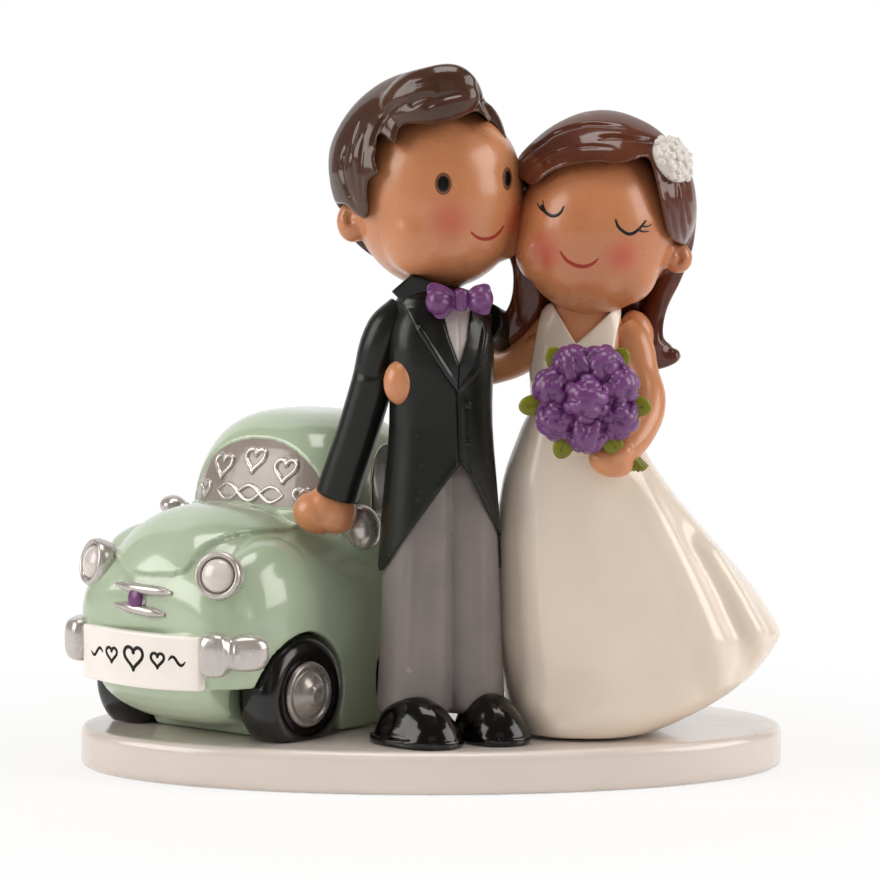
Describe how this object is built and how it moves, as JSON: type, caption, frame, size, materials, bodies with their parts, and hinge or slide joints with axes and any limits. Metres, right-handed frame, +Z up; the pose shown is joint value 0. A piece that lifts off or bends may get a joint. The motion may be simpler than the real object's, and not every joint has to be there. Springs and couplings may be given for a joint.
{
  "type": "wedding cake topper",
  "caption": "Wedding cake topper: a painted resin bride and groom standing beside a small rounded car on an oval plate.",
  "frame": {"origin": "centre of the oval plate's flat underside, on the surface the topper stands on", "axes": "+Z up, -Y towards the viewer whom the couple face, +X along the plate towards the bride"},
  "size_m": [0.1629, 0.0904, 0.1605],
  "materials": {
    "plate_white": "glossy off-white enamel over cast resin",
    "mint_enamel": "glossy mint enamel over cast resin",
    "glass_grey": "glossy mauve-grey painted window, cast resin",
    "glass_dark": "glossy dark grey painted window, cast resin",
    "silver_paint": "bright silver paint over cast resin",
    "lens_white": "glossy pearly white painted lens",
    "plate_cream": "glossy off-white painted number plate",
    "tyre_black": "glossy black paint over cast resin",
    "violet_paint": "satin violet paint over cast resin",
    "lamp_red": "glossy red paint over cast resin",
    "coat_black": "satin black-green paint over cast resin",
    "lapel_black": "semi-gloss black paint over cast resin",
    "trouser_grey": "satin grey paint over cast resin",
    "shirt_grey": "satin light grey paint over cast resin",
    "shoe_black": "high-gloss black enamel over cast resin",
    "skin_paint": "satin warm skin-tone paint over cast resin",
    "brown_hair": "glossy dark brown paint over cast resin",
    "chestnut_hair": "glossy chestnut paint over cast resin",
    "dress_ivory": "semi-gloss ivory paint over cast resin",
    "pearl_white": "pearl white paint over cast resin",
    "leaf_green": "glossy leaf green paint over cast resin"
  },
  "bodies": {
    "root": {"base_plate": "plate_white", "car_body": "mint_enamel", "windscreen": "glass_grey", "rear_window": "glass_dark", "number_plate": "plate_cream", "rear_bumper": "silver_paint", "badge_trim": "silver_paint", "badge_stone": "violet_paint", "tyre_front_left": "tyre_black", "hubcap_front_left": "silver_paint", "tyre_front_right": "tyre_black", "hubcap_front_right": "silver_paint", "tyre_rear_left": "tyre_black", "hubcap_rear_left": "silver_paint", "tyre_rear_right": "tyre_black", "hubcap_rear_right": "silver_paint", "side_window_left": "glass_dark", "headlamp_bezel_left": "silver_paint", "headlamp_lens_left": "lens_white", "tail_lamp_left": "lamp_red", "front_bumper_left": "silver_paint", "door_mirror_left": "silver_paint", "shoe_left": "shoe_black", "sleeve_left": "coat_black", "groom_hand_left": "skin_paint", "bride_arm_left": "skin_paint", "side_window_right": "glass_dark", "headlamp_bezel_right": "silver_paint", "headlamp_lens_right": "lens_white", "tail_lamp_right": "lamp_red", "front_bumper_right": "silver_paint", "door_mirror_right": "silver_paint", "shoe_right": "shoe_black", "sleeve_right": "coat_black", "groom_hand_right": "skin_paint", "bride_arm_right": "skin_paint", "trousers": "trouser_grey", "tailcoat": "coat_black", "shirt_front": "shirt_grey", "coat_collar": "lapel_black", "bow_tie": "violet_paint", "bow_tie_knot": "violet_paint", "groom_head": "skin_paint", "groom_hair": "brown_hair", "skirt": "dress_ivory", "bodice": "dress_ivory", "bride_torso": "skin_paint", "bride_head": "skin_paint", "bride_hair": "chestnut_hair", "hair_clip": "pearl_white", "bouquet_greenery": "leaf_green", "bloom_1": "violet_paint", "bloom_2": "violet_paint", "bloom_3": "violet_paint", "bloom_4": "violet_paint", "bloom_5": "violet_paint", "bloom_6": "violet_paint", "bloom_7": "violet_paint", "bloom_8": "violet_paint"}
  },
  "joints": []
}
